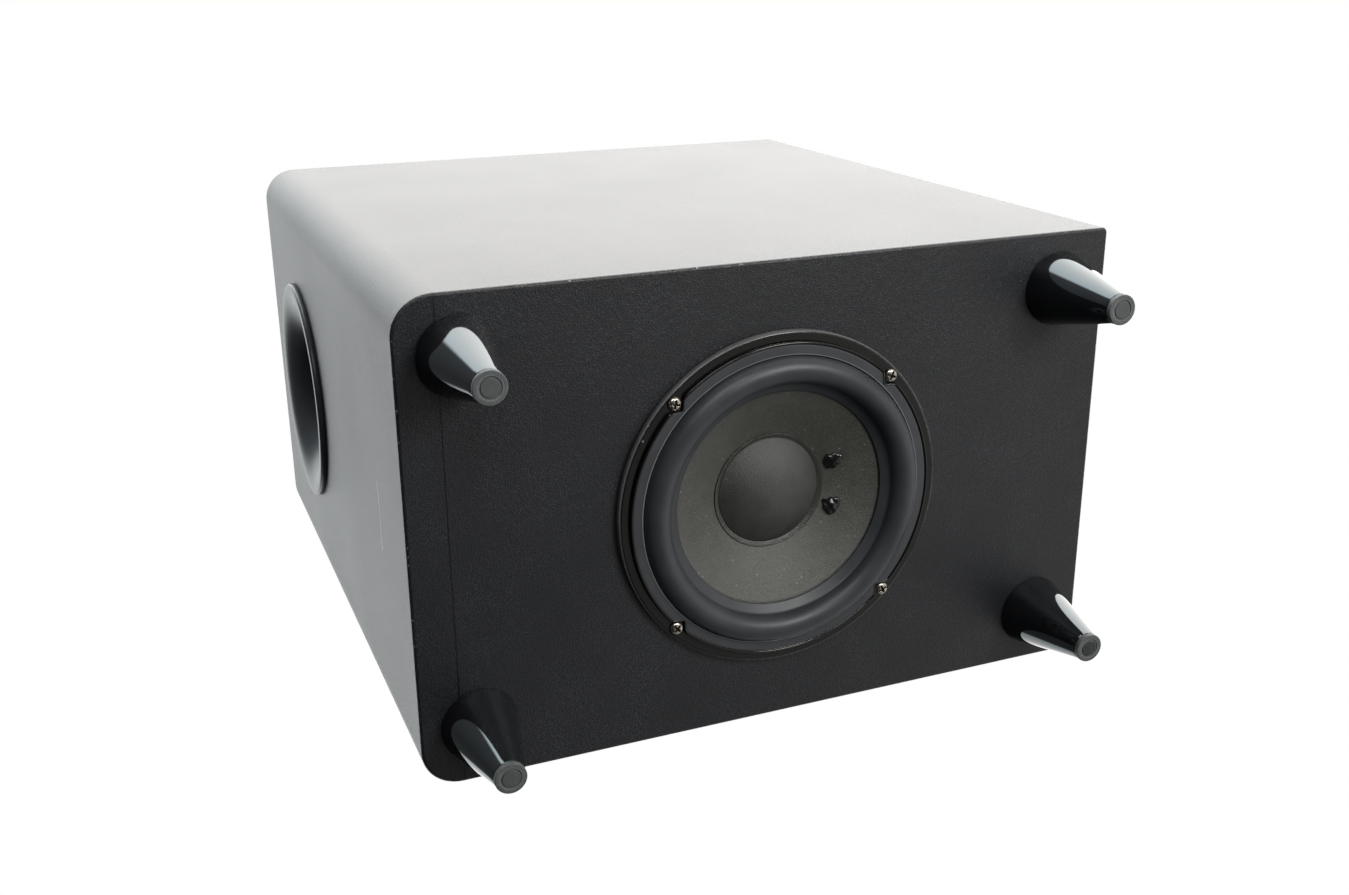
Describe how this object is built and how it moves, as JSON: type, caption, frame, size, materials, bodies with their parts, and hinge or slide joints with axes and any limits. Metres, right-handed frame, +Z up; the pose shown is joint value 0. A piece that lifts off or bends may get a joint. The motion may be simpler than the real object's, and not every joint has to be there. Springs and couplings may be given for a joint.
{
  "type": "subwoofer",
  "caption": "Powered subwoofer: rectangular cabinet on conical feet, down-firing driver, front flared port, rear plate amplifier with controls and sockets.",
  "frame": {"origin": "on the floor, under the centre of the whole object's outline; the cabinet's own middle and the driver's axis are 6.2 mm in front of it, towards -Y", "axes": "+Z up, -Y out of the front (port) face, +Y out of the amplifier, +X to the right seen from the front"},
  "size_m": [0.245, 0.3994, 0.4525],
  "materials": {
    "vinyl_board": "charcoal leatherette vinyl, satin",
    "raw_board": "bare particle board",
    "port_plastic": "gloss black moulding",
    "tube_plastic": "matt black tube",
    "foot_plastic": "gloss black moulding",
    "pad_rubber": "grey rubber, matt",
    "frame_paint": "gloss black enamel",
    "gasket_rubber": "black rubber, satin",
    "surround_rubber": "black butyl rubber, satin",
    "cone_paper": "treated paper pulp, dark olive grey",
    "cap_cloth": "coated black cloth, matt",
    "spider_cloth": "resin-stiffened cloth",
    "plated_steel": "zinc plated",
    "ferrite": "sintered ferrite",
    "copper_wire": "enamelled copper",
    "former_foil": "plain foil",
    "glue": "set black adhesive, gloss",
    "phenolic": "brown laminate",
    "tinned_brass": "tinned",
    "braid": "braided tinsel",
    "screw_nickel": "bright nickel",
    "screw_black": "black zinc",
    "screw_steel": "zinc plated",
    "foam": "black closed-cell foam",
    "wadding": "white polyester fibre",
    "plate_paint": "fine-textured black powder coat",
    "circuit_board": "green laminate",
    "spacer_brass": "plain",
    "lamination": "varnished laminations",
    "coil_tape": "yellow tape",
    "can_sleeve": "dark sleeve",
    "pot_metal": "plated",
    "shaft_alloy": "turned",
    "knob_plastic": "matt black",
    "switch_plastic": "matt black",
    "slider_plastic": "pale grey",
    "rocker_plastic": "satin black",
    "inlet_plastic": "satin black",
    "pin_nickel": "nickel plated",
    "socket_plastic": "black",
    "socket_gold": "gold flashed",
    "lamp_lens": "tinted lens",
    "wire_sleeve": "black insulation"
  },
  "bodies": {
    "cabinet": {"front_baffle": "vinyl_board", "side_panel_left": "vinyl_board", "side_panel_right": "vinyl_board", "top_panel": "vinyl_board", "bottom_panel": "vinyl_board", "rear_panel": "vinyl_board", "shelf_brace": "raw_board", "port_flare": "port_plastic", "port_tube": "tube_plastic", "wadding_pad": "wadding", "driver_basket": "frame_paint", "driver_seal": "foam", "surround_gasket": "gasket_rubber", "surround": "surround_rubber", "spider": "spider_cloth", "top_plate": "plated_steel", "magnet": "ferrite", "pole_yoke": "plated_steel", "terminal_strip": "phenolic", "terminal_tags": "tinned_brass", "tinsel_leads": "braid", "driver_screws": "screw_nickel", "foot_screws": "screw_steel", "amp_plate": "plate_paint", "amp_seal": "foam", "amp_screws": "screw_black", "main_board": "circuit_board", "board_spacers": "spacer_brass", "transformer_core": "lamination", "transformer_coil": "coil_tape", "smoothing_capacitors": "can_sleeve", "level_pot": "pot_metal", "crossover_pot": "pot_metal", "phase_switch": "switch_plastic", "rocker_frame": "rocker_plastic", "mains_inlet": "inlet_plastic", "inlet_pins": "pin_nickel", "rca_block": "socket_plastic", "rca_shells": "socket_gold", "status_led": "lamp_lens", "driver_lead": "wire_sleeve", "foot_front_left": "foot_plastic", "foot_pad_front_left": "pad_rubber", "foot_front_right": "foot_plastic", "foot_pad_front_right": "pad_rubber", "foot_rear_left": "foot_plastic", "foot_pad_rear_left": "pad_rubber", "foot_rear_right": "foot_plastic", "foot_pad_rear_right": "pad_rubber"},
    "cone_assembly": {"cone": "cone_paper", "dust_cap": "cap_cloth", "coil_former": "former_foil", "voice_coil": "copper_wire", "lead_glue": "glue"},
    "level_control": {"level_shaft": "shaft_alloy", "level_knob": "knob_plastic"},
    "crossover_control": {"crossover_shaft": "shaft_alloy", "crossover_knob": "knob_plastic"},
    "phase_control": {"phase_slider": "slider_plastic"},
    "power_control": {"power_rocker": "rocker_plastic"}
  },
  "joints": [
    {"name": "cone_travel", "type": "slide", "parent": "cabinet", "child": "cone_assembly", "axis": [0, 0, -1], "range_m": [-0.006, 0.006], "stiffness_N_per_m": 1500, "deforming": ["surround", "spider", "tinsel_leads"]},
    {"name": "level_turn", "type": "hinge", "parent": "cabinet", "child": "level_control", "pos_m": [0.036, 0.1838, 0.3105], "axis": [0, -1, 0], "range_deg": [-150, 150]},
    {"name": "crossover_turn", "type": "hinge", "parent": "cabinet", "child": "crossover_control", "pos_m": [-0.036, 0.1838, 0.3105], "axis": [0, -1, 0], "range_deg": [-150, 150]},
    {"name": "phase_slide", "type": "slide", "parent": "cabinet", "child": "phase_control", "axis": [-1, 0, 0], "range_m": [0, 0.004]},
    {"name": "power_rock", "type": "hinge", "parent": "cabinet", "child": "power_control", "pos_m": [-0.04, 0.1871, 0.2025], "axis": [-1, 0, 0], "range_deg": [0, 20]}
  ]
}
